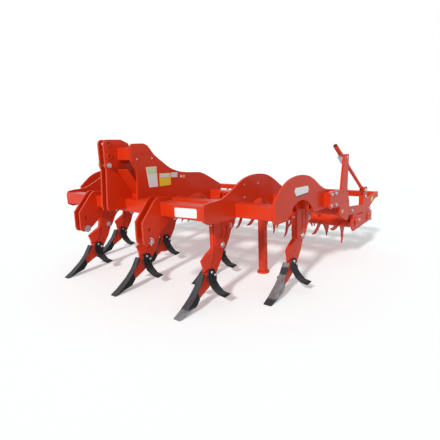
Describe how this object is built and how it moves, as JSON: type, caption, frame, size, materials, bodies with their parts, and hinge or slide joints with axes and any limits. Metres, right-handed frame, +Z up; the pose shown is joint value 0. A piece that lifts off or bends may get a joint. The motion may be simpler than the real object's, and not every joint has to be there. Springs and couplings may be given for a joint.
{
  "type": "seven-tine subsoiler",
  "caption": "Tractor-mounted deep loosener with two rows of winged tines under an arched plate frame, a three-point headstock, parking legs and a screw-adjusted double spiked roller.",
  "frame": {"origin": "on the ground under the middle of the machine's length and width", "axes": "+X the way it is towed, +Y the machine's left side, +Z up"},
  "size_m": [2.897, 2.948, 1.436],
  "materials": {
    "red_paint": "gloss",
    "dark_steel": "satin",
    "zinc": "satin"
  },
  "bodies": {
    "frame": {"arch_plate_left": "red_paint", "arch_plate_right": "red_paint", "chisel_point_1": "dark_steel", "chisel_point_2": "dark_steel", "chisel_point_3": "dark_steel", "chisel_point_4": "dark_steel", "chisel_point_5": "dark_steel", "chisel_point_6": "dark_steel", "chisel_point_7": "dark_steel", "front_tube": "red_paint", "headstock_brace_plate": "red_paint", "headstock_plate_left": "red_paint", "headstock_plate_right": "red_paint", "lower_link_bracket_left": "red_paint", "lower_link_bracket_right": "red_paint", "lower_link_pin_left": "zinc", "lower_link_pin_right": "zinc", "middle_tube": "red_paint", "outer_plate_left": "red_paint", "outer_plate_right": "red_paint", "rear_tube": "red_paint", "roller_bracket_left": "red_paint", "roller_bracket_right": "red_paint", "shank_1": "red_paint", "shank_2": "red_paint", "shank_3": "red_paint", "shank_4": "red_paint", "shank_5": "red_paint", "shank_6": "red_paint", "shank_7": "red_paint", "shank_clamp_1": "red_paint", "shank_clamp_2": "red_paint", "shank_clamp_3": "red_paint", "shank_clamp_4": "red_paint", "shank_clamp_5": "red_paint", "shank_clamp_6": "red_paint", "shank_clamp_7": "red_paint", "spine_plate_left": "red_paint", "spine_plate_right": "red_paint", "top_cross_tube": "red_paint", "top_link_pin": "zinc", "wing_pair_1": "dark_steel", "wing_pair_2": "dark_steel", "wing_pair_3": "dark_steel", "wing_pair_4": "dark_steel", "wing_pair_5": "dark_steel", "wing_pair_6": "dark_steel", "wing_pair_7": "dark_steel"},
    "roller_frame": {"roller_side_left": "red_paint", "roller_side_right": "red_paint", "roller_pivot_tube": "red_paint", "roller_rear_tube": "red_paint"},
    "front_rotor": {"front_rotor": "red_paint"},
    "rear_rotor": {"rear_rotor": "red_paint"},
    "adjuster_barrel_left": {"adjuster_barrel_left": "red_paint"},
    "adjuster_rod_left": {"adjuster_rod_left": "red_paint"},
    "leg_left": {"parking_leg_left": "red_paint"},
    "adjuster_barrel_right": {"adjuster_barrel_right": "red_paint"},
    "adjuster_rod_right": {"adjuster_rod_right": "red_paint"},
    "leg_right": {"parking_leg_right": "red_paint"}
  },
  "joints": [
    {"name": "roller_lift", "type": "hinge", "parent": "frame", "child": "roller_frame", "pos_m": [-0.3145, 0, 0.65], "axis": [0, 1, 0], "range_deg": [-8, 18]},
    {"name": "front_rotor_spin", "type": "hinge", "parent": "roller_frame", "child": "front_rotor", "pos_m": [-0.7705, 0, 0.455], "axis": [0, 1, 0], "continuous": true},
    {"name": "rear_rotor_spin", "type": "hinge", "parent": "roller_frame", "child": "rear_rotor", "pos_m": [-1.1405, 0, 0.46], "axis": [0, 1, 0], "continuous": true},
    {"name": "adjuster_left_tilt", "type": "hinge", "parent": "frame", "child": "adjuster_barrel_left", "pos_m": [-0.4035, 1.422, 1.183], "axis": [0, 1, 0], "range_deg": [-6, 13.2]},
    {"name": "adjuster_left_slide", "type": "slide", "parent": "adjuster_barrel_left", "child": "adjuster_rod_left", "axis": [-0.8301, 0, -0.5576], "range_m": [-0.16, 0.072]},
    {"name": "adjuster_right_tilt", "type": "hinge", "parent": "frame", "child": "adjuster_barrel_right", "pos_m": [-0.4035, -1.422, 1.183], "axis": [0, 1, 0], "range_deg": [-6, 13.2]},
    {"name": "adjuster_right_slide", "type": "slide", "parent": "adjuster_barrel_right", "child": "adjuster_rod_right", "axis": [-0.8301, 0, -0.5576], "range_m": [-0.16, 0.072]},
    {"name": "leg_left_slide", "type": "slide", "parent": "frame", "child": "leg_left", "axis": [0, 0, 1], "range_m": [0, 0.38]},
    {"name": "leg_right_slide", "type": "slide", "parent": "frame", "child": "leg_right", "axis": [0, 0, 1], "range_m": [0, 0.38]}
  ],
  "couplings": [
    {"joint": "adjuster_left_tilt", "follows": "roller_lift", "ratio": 0.718},
    {"joint": "adjuster_left_slide", "follows": "roller_lift", "m_per_rad": -0.503},
    {"joint": "adjuster_right_tilt", "follows": "roller_lift", "ratio": 0.718},
    {"joint": "adjuster_right_slide", "follows": "roller_lift", "m_per_rad": -0.503}
  ]
}
